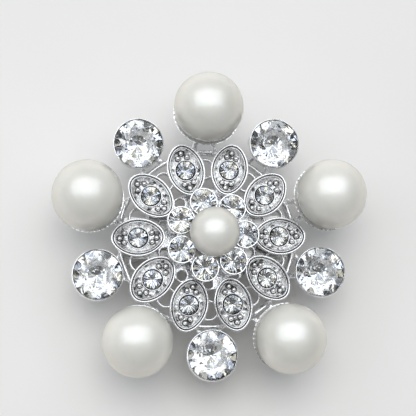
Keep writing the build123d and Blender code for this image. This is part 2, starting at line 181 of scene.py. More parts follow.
def pattern(tree, kind, size_mm, stretch=(1, 1, 1), **values):
    """A Noise or Voronoi pattern whose features are about size_mm across."""
    place = tree.nodes.new("ShaderNodeTexCoord")
    scale = tree.nodes.new("ShaderNodeMapping")
    scale.inputs["Scale"].default_value = [share / (size_mm * mm) for share in stretch]
    texture = tree.nodes.new(kind)
    texture.inputs["Scale"].default_value = 1
    for socket, value in values.items():
        texture.inputs[socket].default_value = value
    tree.links.new(place.outputs["Object"], scale.inputs["Vector"])
    tree.links.new(scale.outputs["Vector"], texture.inputs["Vector"])
    return texture


def ramp(tree, source, *stops):
    """A colour ramp over a source value, from stops of (position, colour)."""
    colours = tree.nodes.new("ShaderNodeValToRGB")
    points = colours.color_ramp.elements
    while len(points) < len(stops):
        points.new(0.5)
    for point, (position, colour) in zip(points, stops):
        point.position = position
        point.color = (*colour, 1) if len(colour) == 3 else colour
    tree.links.new(source, colours.inputs["Fac"])
    return colours.outputs["Color"]


def grey(value):
    """The same value for red, green and blue."""
    return (value, value, value)


print("one grey as a colour:", grey(0.5))

# %% [markdown]
# ## Relief and mixing
#
# A bump tilts the light on a surface without moving it. It is right for a ripple of a few
# hundredths of a millimetre, and wrong for anything that shows in outline, which is why the beads,
# grooves and scallops below are real shape. One bump can lie on top of another.

# %% Relief and mixing helpers
def bump(tree, shader, source, depth_mm, under=None):
    """Raises the surface by a pattern, on top of another bump if one is given."""
    relief = tree.nodes.new("ShaderNodeBump")
    relief.inputs["Distance"].default_value = depth_mm * mm
    tree.links.new(source, relief.inputs["Height"])
    if under:
        tree.links.new(under.outputs["Normal"], relief.inputs["Normal"])
    tree.links.new(relief.outputs["Normal"], shader.inputs["Normal"])
    return relief


def mix(tree, kind, amount, first, second):
    """Mixes two colours. Each may be a colour or another node's output."""
    blend = tree.nodes.new("ShaderNodeMix")
    blend.data_type = "RGBA"
    blend.blend_type = kind
    for socket, value in ((0, amount), (6, first), (7, second)):
        if hasattr(value, "links"):
            tree.links.new(value, blend.inputs[socket])
        else:
            blend.inputs[socket].default_value = (*value, 1) if socket else value
    return blend.outputs[2]


print("materials before the first recipe:", len(bpy.data.materials))

# %% [markdown]
# ## Silver plate
#
# White metal castings are barrel-polished and then plated with rhodium. High places come out
# mirror-bright. Hollows keep the skin of the mould, slightly rough, and go grey with age, and their
# darkening here is painted shade as well.
#
# The recipe is a metallic shader with four patterns: a faint change of tint, a fine ripple that
# bends reflections, a mottled roughness, and a darkening in creases, found with the Pointiness of
# the mesh, which is grey tarnish and painted shade together. A tenth of the shader is left matt,
# because fine scratches scatter light as chalk does.

# %% Silver plate
plate_metal = 0.9


def plate_material(name, roughness, ripple_mm, ripple_depth, dark=0.35):
    """Plated metal. dark is how much of its brightness a crease keeps, under tarnish and painted
    shade.
    """
    material, tree, shader = new_material(name, Metallic=plate_metal)
    tint = pattern(tree, "ShaderNodeTexNoise", 2.5, Detail=3)
    bright = ramp(tree, tint.outputs["Fac"], (0.3, (0.91, 0.91, 0.92)), (0.7, (0.98, 0.98, 0.98)))
    shape = tree.nodes.new("ShaderNodeNewGeometry")
    # Creases are darker: grey tarnish and painted shade together.
    crease_tarnish_and_shade = ramp(tree, shape.outputs["Pointiness"], (0.44, grey(dark)), (0.50, grey(1)))
    colour = mix(tree, "MULTIPLY", 1.0, bright, crease_tarnish_and_shade)
    tree.links.new(colour, shader.inputs["Base Color"])
    mottle = pattern(tree, "ShaderNodeTexNoise", 0.5, Detail=4)
    smoother, rougher = grey(roughness * 0.6), grey(roughness * 1.6)
    rough = ramp(tree, mottle.outputs["Fac"], (0.35, smoother), (0.7, rougher))
    tree.links.new(rough, shader.inputs["Roughness"])
    ripple = pattern(tree, "ShaderNodeTexNoise", ripple_mm, Detail=3)
    bump(tree, shader, ripple.outputs["Fac"], ripple_depth)
    return material


polished_plate = plate_material("polished_plate", 0.13, 0.7, 0.03)
cast_plate = plate_material("cast_plate", 0.2, 0.45, 0.06, dark=0.2)
print("plated finishes:", polished_plate.name, "and", cast_plate.name)

# %% [markdown]
# ## Bright-cut silver
#
# The floors of the petals are cut with a graver, so that they flash like crushed foil round their
# stones. Small flat cuts at all angles are just what a Voronoi pattern is, so one drives the bump,
# with a finer one over it. The same cells give each cut a tone. Most are bright, and a few are
# dark, where the graver went deep and the metal has blackened.

# %% Bright-cut silver
cut_size = 0.55  # millimetres across one stroke of the graver
cut_depth = 0.22


def bright_cut_material():
    """Engraved metal, brighter and less even than the plate round it."""
    material, tree, shader = new_material("bright_cut", Metallic=0.72)
    cuts = pattern(tree, "ShaderNodeTexVoronoi", cut_size, Randomness=1.0)
    tone = ramp(tree, cuts.outputs["Color"], (0.22, grey(0.16)), (0.35, grey(0.98)))
    tree.links.new(tone, shader.inputs["Base Color"])
    grit = pattern(tree, "ShaderNodeTexNoise", 0.15, Detail=3)
    rough = ramp(tree, grit.outputs["Fac"], (0.35, grey(0.08)), (0.7, grey(0.3)))
    tree.links.new(rough, shader.inputs["Roughness"])
    coarse = bump(tree, shader, cuts.outputs["Distance"], cut_depth)
    fine = pattern(tree, "ShaderNodeTexVoronoi", 0.22, Randomness=1.0)
    bump(tree, shader, fine.outputs["Distance"], 0.04, under=coarse)
    return material


bright_cut = bright_cut_material()
print("cuts of", cut_size, "mm in", bright_cut.name)

# %% [markdown]
# ## Painted shade in the recesses
#
# The bottoms of the grooves, the moats round the beads and the wells round the stones get a
# near-black finish of their own, while everything round them stays bright. The black is painted
# shade, for the shadow that falls in them. That dark line is what makes a rim read as a rim.

# %% Painted shade in the recesses
def recess_material():
    """Near-black metal with a dull, uneven shine, as painted shade in the recesses."""
    material, tree, shader = new_material("painted_shade_recess", Metallic=0.85)
    recess_mottle = pattern(tree, "ShaderNodeTexNoise", 0.35, Detail=4)
    # The near-black tone below is painted shade.
    tone = ramp(tree, recess_mottle.outputs["Fac"], (0.35, grey(0.02)), (0.7, grey(0.12)))
    tree.links.new(tone, shader.inputs["Base Color"])
    rough = ramp(tree, recess_mottle.outputs["Fac"], (0.3, grey(0.3)), (0.7, grey(0.5)))
    tree.links.new(rough, shader.inputs["Roughness"])
    bump(tree, shader, recess_mottle.outputs["Fac"], 0.03)
    return material


painted_shade_recess = recess_material()
print("recess finish:", painted_shade_recess.name)

# %% [markdown]
# ## Crystal and foil
#
# A chaton is a pointed glass stone with its back silvered, so light that enters the top is thrown
# back out of it by the foil. The honest way to get that sparkle is to build it: clear glass on the
# crown, mirror on the pavilion, and real facets between them. Painted sparkle never moves as the
# clip turns; this does.
#
# The foil's facets are given tones of their own, from grey to near white, some leaning to straw and
# some to blue: painted reflection, for facets that mirror lighter and darker parts of the room. A
# facet is flat, so its normal is the same all over it. A Voronoi pattern that reads the normal, not
# the place, therefore gives every facet one tone of its own.

# %% Crystal
def crystal_material():
    """Clear lead glass with a trace of haze."""
    material, tree, shader = new_material(
        "crystal_crown", Transmission_Weight=1.0, IOR=1.58, Base_Color=(1, 1, 1, 1)
    )
    haze = pattern(tree, "ShaderNodeTexNoise", 1.5, Detail=4)
    film = ramp(tree, haze.outputs["Fac"], (0.45, grey(0.0)), (0.8, grey(0.05)))
    tree.links.new(film, shader.inputs["Roughness"])
    return material


crystal_crown = crystal_material()
print("glass:", crystal_crown.name)

# %% Foil
facet_cells = 7  # how finely the directions of the facets are divided into tones


def foil_material():
    """A mirror behind the glass, with one painted reflection tone to each facet."""
    material, tree, shader = new_material("crystal_foil", Metallic=1.0)
    shape = tree.nodes.new("ShaderNodeNewGeometry")
    facets = tree.nodes.new("ShaderNodeTexVoronoi")
    facets.inputs["Scale"].default_value = facet_cells
    tree.links.new(shape.outputs["True Normal"], facets.inputs["Vector"])
    split = tree.nodes.new("ShaderNodeSeparateColor")
    tree.links.new(facets.outputs["Color"], split.inputs["Color"])
    # Grey to near white, and straw to blue, facet by facet: painted reflection.
    depth = ramp(
        tree, split.outputs["Red"], (0.15, grey(0.34)), (0.3, grey(0.66)), (0.45, grey(0.96))
    )
    tint = ramp(
        tree,
        split.outputs["Green"],
        (0.25, (0.88, 0.92, 1.0)),
        (0.5, (1.0, 1.0, 1.0)),
        (0.8, (1.0, 0.97, 0.88)),
    )
    tree.links.new(mix(tree, "MULTIPLY", 1.0, depth, tint), shader.inputs["Base Color"])
    grain = pattern(tree, "ShaderNodeTexNoise", 0.3, Detail=2)
    rough = ramp(tree, grain.outputs["Fac"], (0.4, grey(0.0)), (0.8, grey(0.04)))
    tree.links.new(rough, shader.inputs["Roughness"])
    return material


crystal_foil = foil_material()
print("foil:", crystal_foil.name)

# %% [markdown]
# ## Pearl
#
# These pearls are beads under many coats of pearl lacquer. Their glow has three parts: a warm
# cream body that light soaks into, a broad soft shine from the mica in the lacquer, and a clear
# top coat. So the body is cream with some subsurface scattering, the base gloss is wide, a thin
# film gives the faint play of colour, and a clear coat carries the sharper shine.

# %% Pearl
def pearl_material():
    """Cream lacquer under a clear coat."""
    material, tree, shader = new_material(
        "pearl_lacquer",
        Subsurface_Weight=0.25,
        Subsurface_Radius=(1.0, 0.8, 0.6),
        Subsurface_Scale=0.8 * mm,
        Metallic=0.24,
        Specular_IOR_Level=0.5,
        Coat_Weight=0.95,
        Coat_Roughness=0.19,
        Thin_Film_Thickness=330.0,
        Thin_Film_IOR=1.36,
    )
    cloud = pattern(tree, "ShaderNodeTexNoise", 6, Detail=2)
    cream, paler_cream = (0.81, 0.807, 0.75), (0.86, 0.857, 0.81)
    body = ramp(tree, cloud.outputs["Fac"], (0.35, cream), (0.65, paler_cream))
    tree.links.new(body, shader.inputs["Base Color"])
    mica = pattern(tree, "ShaderNodeTexNoise", 0.25, Detail=3)
    rough = ramp(tree, mica.outputs["Fac"], (0.3, grey(0.33)), (0.7, grey(0.45)))
    tree.links.new(rough, shader.inputs["Roughness"])
    skin_ripple = pattern(tree, "ShaderNodeTexNoise", 1.2, Detail=2)
    bump(tree, shader, skin_ripple.outputs["Fac"], 0.02)
    return material


pearl_lacquer = pearl_material()
print("pearl finish:", pearl_lacquer.name)

# %% [markdown]
# ## Steel of the barrette
#
# The barrette is stamped from strip and nickelled. Rolling leaves fine lines along the strip, so
# the patterns are stretched along X, and the finish is duller and warmer than the flower's.

# %% Barrette steel
def steel_material():
    """Nickelled strip with rolling lines along X."""
    material, tree, shader = new_material("clip_steel", Metallic=1.0)
    lines = pattern(tree, "ShaderNodeTexNoise", 0.12, stretch=(0.03, 1, 1), Detail=3)
    tone = ramp(tree, lines.outputs["Fac"], (0.3, (0.60, 0.59, 0.57)), (0.7, (0.74, 0.73, 0.71)))
    shape = tree.nodes.new("ShaderNodeNewGeometry")
    # Darker in the creases, found with the Pointiness of the mesh.
    crease_darkening = ramp(tree, shape.outputs["Pointiness"], (0.45, grey(0.6)), (0.55, grey(1)))
    tree.links.new(mix(tree, "MULTIPLY", 1.0, tone, crease_darkening), shader.inputs["Base Color"])
    rough = ramp(tree, lines.outputs["Fac"], (0.3, grey(0.2)), (0.7, grey(0.38)))
    tree.links.new(rough, shader.inputs["Roughness"])
    bump(tree, shader, lines.outputs["Fac"], 0.01)
    return material


clip_steel = steel_material()
print("materials:", len(bpy.data.materials))

# %% [markdown]
# ## Cut stones
#
# A round brilliant has a table, eight star facets, eight kites and sixteen halves above its
# girdle, and eight kites and sixteen halves below. Each kite has four corners, and they lie flat
# only if the middle corners are at the right height. That height follows from the plane through
# the kite's two end corners, so the function works it out.

# %% Proportions of a stone
crown_share = 0.17
girdle_share = 0.03
pavilion_share = 0.40
table_share = 0.56
star_share = 0.80  # radius of the stars' outer corners over the stone's
lower_share = 0.22  # radius of the pavilion kites' middle corners over the stone's
culet_share = 0.03
height_share = crown_share + girdle_share + pavilion_share
print(f"a stone is {height_share:.2f} of its width in height")

# %% Cut stones
def polar(radius, turn, height):
    """A point at a radius and height, and a turn counted in sixteenths of a circle."""
    return Vector((radius * cos(tau * turn / 16), radius * sin(tau * turn / 16), height))


def cut_stone(diameter):
    """A round brilliant, the top of its girdle at the origin. Faces below the girdle are foil."""
    radius = diameter / 2
    crown, girdle = diameter * crown_share, diameter * girdle_share
    pavilion = diameter * pavilion_share
    table = radius * table_share
    star, lower = radius * star_share, radius * lower_share
    slope = cos(tau / 16)
    star_height = crown * (radius - star * slope) / (radius - table)
    lower_height = -girdle - pavilion * (1 - lower * slope / radius)
    stone = bmesh.new()

    def corner(point):
        """One corner of the stone's facets."""
        return stone.verts.new(point)

    table_ring = [corner(polar(table, 2 * k, crown)) for k in range(8)]
    star_ring = [corner(polar(star, 2 * k + 1, star_height)) for k in range(8)]
    top_ring = [corner(polar(radius, k, 0)) for k in range(16)]
    under_ring = [corner(polar(radius, k, -girdle)) for k in range(16)]
    lower_ring = [corner(polar(lower, 2 * k + 1, lower_height)) for k in range(8)]
    culet_ring = [corner(polar(radius * culet_share, 2 * k, -girdle - pavilion)) for k in range(8)]
    stone.faces.new(table_ring)
    for k in range(8):
        after, before = (k + 1) % 8, k - 1
        side, far = 2 * k, (2 * k + 2) % 16
        stone.faces.new((table_ring[k], star_ring[k], table_ring[after]))
        stone.faces.new((table_ring[k], star_ring[before], top_ring[side], star_ring[k]))
        stone.faces.new((star_ring[k], top_ring[side], top_ring[side + 1]))
        stone.faces.new((star_ring[k], top_ring[side + 1], top_ring[far]))
    for k in range(16):
        after = (k + 1) % 16
        stone.faces.new((top_ring[k], under_ring[k], under_ring[after], top_ring[after]))
    above_girdle = len(stone.faces)
    for k in range(8):
        after, before = (k + 1) % 8, k - 1
        side, far = 2 * k, (2 * k + 2) % 16
        stone.faces.new((culet_ring[k], lower_ring[k], under_ring[side], lower_ring[before]))
        stone.faces.new((lower_ring[k], under_ring[side], under_ring[side + 1]))
        stone.faces.new((lower_ring[k], under_ring[side + 1], under_ring[far]))
        stone.faces.new((culet_ring[k], culet_ring[after], lower_ring[k]))
    stone.faces.new(culet_ring)
    for face in list(stone.faces)[above_girdle:]:
        face.material_index = 1
    return stone


print("points in a stone:", len(cut_stone(1.0).verts))

# %% [markdown]
# ## Setting the stones
#
# A setter drops each stone in its seat as it comes, so no two stand with their facets the same way
# round. Each is turned a little further than the last, and those in the petals lean with them.

# %% Set the stones
accent_size = 4.3
petal_stone_size = 3.2


def set_stones(stem, diameter, tilt=0.0, twist=0.0):
    """Cuts one stone for each numbered node and sets it where the node stands."""
    stones = []
    for number, node in enumerate(numbered(stem)):
        seat = middle(node)
        bearing = atan2(seat.y, seat.x)
        height = diameter * height_share
        lean = Matrix.Rotation(bearing, 4, "Z") @ Matrix.Rotation(tilt, 4, "Y")
        centre = Vector((0, 0, height / 2 - diameter * crown_share))
        place = Matrix.Translation(seat) @ lean @ Matrix.Translation(centre)
        place = place @ Matrix.Rotation(twist * number, 4, "Z")
        mesh = to_mesh(cut_stone(diameter), f"cut_{node}", place, sharp=1)
        glass = (crystal_crown, crystal_foil)
        stones.append(add_piece(f"cut_{node}", mesh, glass, (node,)))
    print(f"{len(stones)} stones of {diameter} mm for {stem}")
    return stones


edge_stone_size = corners("edge_stone_01")[1].z - corners("edge_stone_01")[0].z
edge_stone_size = round(edge_stone_size / height_share, 2)
set_stones("edge_stone", edge_stone_size, twist=0.7)
set_stones("accent_stone", accent_size, twist=1.1)
set_stones("petal_stone", petal_stone_size, tilt=petal_tilt, twist=0.9)

# %% [markdown]
# ## Petals
#
# A petal is an oval dish. From the outside in, it has a rounded rim, a groove, a second fine line,
# a sloping wall, a cut floor with three beads at each end, and a collar round its stone.
#
# All of that is one stack of rings. The outer rings follow the petal's outline, the inner ones are
# circles, and those between are a blend of the two. The beads and the cuts are added as height,
# point by point, so the mesh stays one closed skin. It begins with the two profiles, of the rim and
# of the collar, as pairs of distance inwards and height.

# %% Petal sizes
petal_points = 216
pinch = 0.10  # how far the outline is drawn in towards its ends
collar_radius = 1.95
seat_radius = 1.64
bead_radius = 0.4
# The moat round each bead is cut lower, and it takes the near-black painted shade.
bead_moat = 0.13  # blackened ring round each bead
bead_trio = ((2.32, -0.82), (2.36, 0.76), (3.14, 0.06))
bead_places = [Vector((end * along, across)) for end in (-1, 1) for along, across in bead_trio]
foot_rings = ((0.79, 0.0), (0.80, 0.06), (0.83, 0.35), (0.92, 0.75))  # scale, share of the way up
rim_profile = (
    (0.02, -0.62),
    (0.0, -0.30),
    (0.0, -0.16),
    (0.03, -0.06),
    (0.10, -0.01),
    (0.20, 0.0),
    (0.29, -0.02),
    (0.35, -0.09),
    (0.37, -0.36),
    (0.49, -0.38),
    (0.51, -0.20),
    (0.55, -0.15),
    (0.62, -0.14),
    (0.68, -0.19),
    (0.72, -0.30),
)
groove_row = 8  # the rim's ring at the start of the groove's bottom
floor_steps = 30
floor_depth = -1.08
collar_profile = (
    (0.0, -1.06),
    (0.02, -0.82),
    (0.06, -0.72),
    (0.12, -0.69),
    (0.18, -0.72),
    (0.22, -0.80),
    (0.23, -1.0),
)
well_top = -1.02
well_bottom = -2.1
well_bottom_radius = 0.2
print("beads on a petal:", len(bead_places), "rings in its rim:", len(rim_profile))

# %% [markdown]
# ### The petal's oval and its floor
#
# The oval is an ellipse, drawn in a little towards its ends. The floor falls from the rim, steeply
# and then level. Engraving makes it uneven: cell noise gives flat strokes, and smooth noise
# softens them. Each bead is a half ball with a moat cut round it.

# %% Petal outline and floor
stroke_size = 0.6
stroke_height = 0.13
stroke_blend = 0.6  # brings the two noises together back to about the height of one
stroke_fade = 4  # the strokes fade out over a quarter of the floor at its two edges
wall_share = 0.7  # the floor is level from this share of the way in
bead_lift = 0.28  # middle of a bead above the floor


def petal_outline(inset, scale=1.0):
    """The petal's oval, drawn in by an inset, as flat points."""
    half_length, half_width = petal_length / 2 - inset, petal_width / 2 - inset
    oval = []
    for step in range(petal_points):
        angle = tau * step / petal_points
        across = half_width * sin(angle) * (1 - pinch * cos(angle) ** 2)
        oval.append(Vector((half_length * cos(angle) * scale, across * scale)))
    return oval


def floor_height(point, share, seed):
    """Height of the dish's wall and floor, with its beads and its cuts."""
    fall = 1 - (1 - min(share / wall_share, 1)) ** 2
    height = rim_profile[-1][1] + (floor_depth - rim_profile[-1][1]) * fall
    spot = Vector((point.x / stroke_size + seed, point.y / stroke_size, 0))
    edge = min(share, 1 - share) * stroke_fade
    strokes = noise.cell(spot) + noise.noise(spot * 2)
    height += stroke_height * min(edge, 1) * strokes * stroke_blend
    gap = min((point - bead).length for bead in bead_places)
    if gap < bead_radius:
        return floor_depth + bead_lift + sqrt(bead_radius**2 - gap**2)
    if gap < bead_radius + bead_moat:
        return min(height, floor_depth - 0.02)
    return height


print(f"the oval is {2 * petal_outline(0)[0].x:.2f} mm long at its rim")

# %% [markdown]
# ### One petal
#
# The rings go up the outside from the foot, over the rim, down the floor, over the collar and into
# the well under the stone. The petal leans and its foot doesn't, so the foot's rings are sheared to
# stand flat on the frame. Bands of faces then get their finish: plate on the rim and the beads, cut
# silver on the floor, and the near-black painted shade in the groove, the moats and the well.

# %% Petal skin
def petal_skin(seed):
    """One petal about the middle of its rim, with its floor marked for the bright-cut finish."""
    drop = petal_rim - frame_top
    rings = []
    for scale, share in foot_rings:
        ring = []
        for flat in petal_outline(0, scale):
            foot = (flat.x * sin(petal_tilt) - drop) / cos(petal_tilt)
            ring.append(Vector((flat.x, flat.y, foot + (rim_profile[0][1] - foot) * share)))
        rings.append(ring)
    for inset, height in rim_profile:
        rings.append([Vector((*flat, height)) for flat in petal_outline(inset)])
    outer = petal_outline(rim_profile[-1][0])
    floor_from = len(rings)
    for step in range(1, floor_steps):
        share = step / floor_steps
        ring = []
        for number, flat in enumerate(outer):
            angle = tau * number / petal_points
            inner = Vector((collar_radius * cos(angle), collar_radius * sin(angle)))
            point = flat.lerp(inner, share)
            ring.append(Vector((*point, floor_height(point, share, seed))))
        rings.append(ring)
    floor_to = len(rings)
    for inset, height in collar_profile:
        rings.append(circle(collar_radius - inset, height, petal_points))
    well_from = len(rings)
    rings.append(circle(seat_radius, well_top, petal_points))
    rings.append(circle(well_bottom_radius, well_bottom, petal_points))
    shell = skin(rings)
    shell.faces.ensure_lookup_table()

    def finish_band(first, last, index):
        """Gives one finish to the faces between two rings."""
        for face in shell.faces[first * petal_points:last * petal_points]:
            face.material_index = index

    # Index 1 is the cut silver. Index 2 is the near-black painted shade of the moats, the groove
    # and the well.
    finish_band(floor_from - 1, floor_to - 2, 1)
    for face in shell.faces[floor_from * petal_points:(floor_to - 2) * petal_points]:
        spot = face.calc_center_median().xy
        gap = min((spot - bead).length for bead in bead_places)
        if gap < bead_radius + bead_moat:
            face.material_index = 0 if gap < bead_radius else 2
    groove = len(foot_rings) + groove_row
    finish_band(groove - 1, groove + 1, 2)
    finish_band(well_from - 2, len(rings) - 1, 2)
    return shell


trial = petal_skin(0)
print("faces in a petal:", len(trial.faces))
trial.free()

# %% [markdown]
# ### Setting the petals round the flower
#
# Each petal stands where its node stands. It points outwards, swung a little off its radius, and
# leans down towards its outer end. A different seed gives each one its own engraving.

# %% Set the petals
petal_finishes = (polished_plate, bright_cut, painted_shade_recess)
engraving_step = 7.3  # along the noise, from one petal to the next
for number, node in enumerate(petals):
    spot = middle(node)
    bearing = atan2(spot.y, spot.x)
    swing = bearing + petal_turn * sin(2 * bearing)
    place = Matrix.Translation((spot.x, spot.y, petal_rim)) @ Matrix.Rotation(swing, 4, "Z")
    place = place @ Matrix.Rotation(petal_tilt, 4, "Y")
    mesh = to_mesh(petal_skin(number * engraving_step), f"oval_{node}", place, sharp=60)
    add_piece(f"oval_{node}", mesh, petal_finishes, (node,))
print("petals:", len(petals), "with", len(mesh.vertices), "points each")

# %% [markdown]
# ## Cups for the large stones
#
# A bezel cup is turned as a cone with a straight collar, and the collar's edge is rubbed down over
# the stone's girdle. A turned part is a profile on a lathe, so the profile is written as pairs of
# radius and height, from the foot round the outside, over the lip and back down the seat.

# %% Stone cups
cup_foot = 3.0
cup_hole = 1.6
cup_lip = 0.2  # above the stone's girdle


def ring_lathe(profile, count=72):
    """A turned part with a hole through it: the profile is a closed loop."""
    shell = skin([circle(radius, height, count) for radius, height in profile], close_ends=False)
    shell.verts.ensure_lookup_table()
    last = (len(profile) - 1) * count
    for here in range(count):
        after = (here + 1) % count
        verts = shell.verts
        shell.faces.new((verts[last + here], verts[last + after], verts[after], verts[here]))
    return shell


def stone_cup_profile():
    """Radius and height, from the hole round the foot, the cone and the lip to the seat."""
    low, high = corners("edge_stone_cup_01")
    lip = high.z - low.z
    outer = (high.x - low.x) / 2
    seat = edge_stone_size / 2 + 0.03
    girdle = lip - cup_lip
    return (
        (cup_hole, 0.0),
        (cup_foot - 0.1, 0.0),
        (cup_foot, 0.1),
        (cup_foot, 0.35),
        (cup_foot - 0.08, 0.45),
        (cup_foot + 0.55, 1.35),
        (outer - 0.05, lip - 1.05),
        (outer, lip - 0.92),
        (outer, lip - 0.80),
        (outer - 0.07, lip - 0.72),
        (outer, lip - 0.64),
        (outer - 0.02, lip - 0.30),
        (outer - 0.07, lip - 0.10),
        (outer - 0.12, lip - 0.02),
        (outer - 0.19, lip),
        (outer - 0.26, lip - 0.05),
        (seat, girdle),
        (seat, girdle - 0.3),
        (cup_hole, 0.85),
    )


for node in numbered("edge_stone_cup"):
    spot = middle(node)
    place = Matrix.Translation((spot.x, spot.y, frame_top))
    mesh = to_mesh(ring_lathe(stone_cup_profile()), f"bezel_{node}", place)
    add_piece(f"bezel_{node}", mesh, (polished_plate,), (node,))
print("stone cups:", len(numbered("edge_stone_cup")))

# %% [markdown]
# ## Pearls and their cups
#
# A pearl is drilled from below and glued on a peg. The bead is never a true ball: its outline
# wanders by a few hundredths of a millimetre, and the lacquer is a little thicker at the drill
# hole. The wander is a slow noise over the surface, different for each pearl.
#
# The cup's edge is pinked into small scallops, which hold the glue and catch the light. The five
# outer cups lean a little towards the middle of the flower. A bowl is part of a ball about the
# pearl's middle, so it can turn about that middle and still fit the pearl.

# %% Pearl skin
drill_radius = 0.6
drill_rim = 0.25  # the lacquer's edge turns into the hole this far up
wander = 0.004  # of the radius


def pearl_skin(diameter, hole_depth, seed):
    """A drilled bead about the origin."""
    radius = diameter / 2
    rows, count = 56, 96
    first = drill_radius / radius
    rings = [
        circle(drill_radius * 0.98, hole_depth - radius, count),
        circle(drill_radius, drill_rim - radius, count),
    ]
    for row in range(rows):
        polar_angle = first + (pi - first - 0.01) * row / (rows - 1)
        rings.append(circle(radius * sin(polar_angle), -radius * cos(polar_angle), count))
    for ring in rings[2:]:
        for point in ring:
            point *= 1 + wander * noise.noise(point / radius * 0.9 + Vector((seed, 0, 0)))
    return skin(rings)


print("a pearl is drilled", 2 * drill_radius, "mm wide")

# %% Pearl cup profile
cup_gap = 0.05  # glue between the pearl and its bowl
cup_wall = 0.5
peg_radius = 0.55
bowl_lean = radians(12)


def pearl_cup_profile(node, diameter, foot, drop, peg):
    """Foot, bowl, pinked mouth, bowl's inside and peg, about the pearl's middle.

    The bowl is widest at its mouth, so the node's width says how far up the pearl it reaches."""
    low, high = corners(node)
    widest = (high.y - low.y) / 2
    inside = diameter / 2 + cup_gap
    outside = inside + cup_wall
    mouth_drop = sqrt(outside**2 - widest**2)
    profile = [(0.2, -drop), (foot - 0.1, -drop), (foot, -drop + 0.12)]
    start = pi - asin(foot * 0.93 / outside)
    finish = acos(-mouth_drop / outside)
    steps = 10
    for step in range(steps + 1):
        angle = start + (finish - start) * step / steps
        profile.append((outside * sin(angle), outside * cos(angle)))
    start = acos(-mouth_drop / inside)
    profile.append((widest - cup_wall / 2, -mouth_drop + 0.05))
    for step in range(steps + 1):
        angle = start + (pi - 0.12 - start) * step / steps
        profile.append((inside * sin(angle), inside * cos(angle)))
    peg_top = peg - diameter / 2
    profile.append((peg_radius, 0.3 - diameter / 2))
    profile.append((peg_radius, peg_top - 0.1))
    profile.append((peg_radius - 0.1, peg_top))
    return profile


print("a bowl's wall is", cup_wall, "mm, and it leans", round(bowl_lean * 360 / tau), "degrees")

# %% Pearl cup skin
scallop_fade = 0.9  # millimetres below the mouth
bend_share = 0.33  # the lean grows over this share of the pearl's radius, from its lowest point


def pearl_cup_skin(profile, pearl_radius, scallops=44, depth=0.07, bearing=0.0, lean=0.0):
    """Turns the cup, with scallops that fade out below its mouth.

    The mouth may lean towards the middle of the flower. The foot and the peg stay upright."""
    count = scallops * 6
    top = max(height for radius, height in profile if radius > 1)
    hinge = Vector((-sin(bearing), cos(bearing), 0))
    rings = []
    for radius, height in profile:
        bowl = radius > 1
        share = max(0.0, 1 - (top - height) / scallop_fade) if bowl else 0.0
        bend = min(max((height / pearl_radius + 1) / bend_share, 0.0), 1.0) if bowl else 0.0
        turn = Matrix.Rotation(lean * bend, 3, hinge)

        def pinking(angle):
            """How far the scalloped edge rises at an angle."""
            return depth * share * (abs(sin(angle * scallops / 2)) - 0.5)

        rings.append([turn @ point for point in circle(radius, height, count, pinking)])
    return skin(rings)


print("rings in a cup fade their scallops over", scallop_fade, "mm")

# %% [markdown]
# ### Setting the pearls
#
# The five outer pearls stand at one height, with their cups on the frame. The one in the middle is
# smaller and stands higher, on the rosette. Each gets its own seed, so no two are quite alike.

# %% Outer pearls
peg_length = 3.4
peg_glue = 0.05  # above the peg's end
wander_step = 3.7  # along the noise, from one pearl to the next
pearl_foot = 2.7
pearl_size = corners("edge_pearl_01")[1].z - corners("edge_pearl_01")[0].z
pearl_size = round(pearl_size, 1)
pearl_middle = corners("edge_pearl_01")[1].z - pearl_size / 2
for number, node in enumerate(numbered("edge_pearl")):
    spot = middle(node)
    place = Matrix.Translation((spot.x, spot.y, pearl_middle)) @ Matrix.Rotation(number, 4, "Z")
    bead = pearl_skin(pearl_size, peg_length + peg_glue, number * wander_step)
    mesh = to_mesh(bead, f"bead_{node}", place)
    add_piece(f"bead_{node}", mesh, (pearl_lacquer,), (node,))
for node in numbered("edge_pearl_cup"):
    profile = pearl_cup_profile(node, pearl_size, pearl_foot, pearl_middle - frame_top, peg_length)
    spot = middle(node)
    place = Matrix.Translation((spot.x, spot.y, pearl_middle))
    bowl = pearl_cup_skin(profile, pearl_size / 2, bearing=atan2(spot.y, spot.x), lean=bowl_lean)
    mesh = to_mesh(bowl, f"bowl_{node}", place)
    add_piece(f"bowl_{node}", mesh, (cast_plate,), (node,))
print("outer pearls:", len(numbered("edge_pearl")), "of", pearl_size, "mm")

# %% Centre pearl
centre_size = 8.4
centre_peg = 2.4
centre_foot = 1.6
centre_seed = 31.0
centre_middle = corners("centre_pearl")[1].z - centre_size / 2
place = Matrix.Translation((0, 0, centre_middle))
mesh = to_mesh(pearl_skin(centre_size, centre_peg + peg_glue, centre_seed), "bead_centre", place)
add_piece("bead_centre", mesh, (pearl_lacquer,), ("centre_pearl",))
centre_drop = centre_middle - corners("centre_pearl_cup")[0].z
profile = pearl_cup_profile("centre_pearl_cup", centre_size, centre_foot, centre_drop, centre_peg)
bowl = pearl_cup_skin(profile, centre_size / 2, scallops=20, depth=0.08)
add_piece("bowl_centre", to_mesh(bowl, "bowl_centre", place), (cast_plate,), ("centre_pearl_cup",))
print("centre pearl:", centre_size, "mm, its middle at", round(centre_middle, 2), "mm")

# %% [markdown]
# ## Claws of the centre rosette
#
# The small stones are held by claws as well as by their cups. A claw is a short tapered pin,
# bent over the crown. Each is a few rings that lean towards the stone as they rise.

# %% Claw and join
def claw(root, tip, thick):
    """A tapered pin from root to tip with a rounded end."""
    lean = tip - root
    across = lean.to_track_quat("Z", "Y")
    rings = []
    for share, width in ((0, 1), (0.5, 0.95), (0.8, 0.85), (0.93, 0.6), (1, 0.2)):
        ring = circle(thick * width, lean.length * share, 12)
        rings.append([root + across @ point for point in ring])
    return skin(rings)


def join(shells):
    """One bmesh that holds several."""
    whole = bmesh.new()
    for shell in shells:
        part = bpy.data.meshes.new("part")
        shell.to_mesh(part)
        shell.free()
        whole.from_mesh(part)
        bpy.data.meshes.remove(part)
    return whole


print("materials so far:", len(bpy.data.materials))

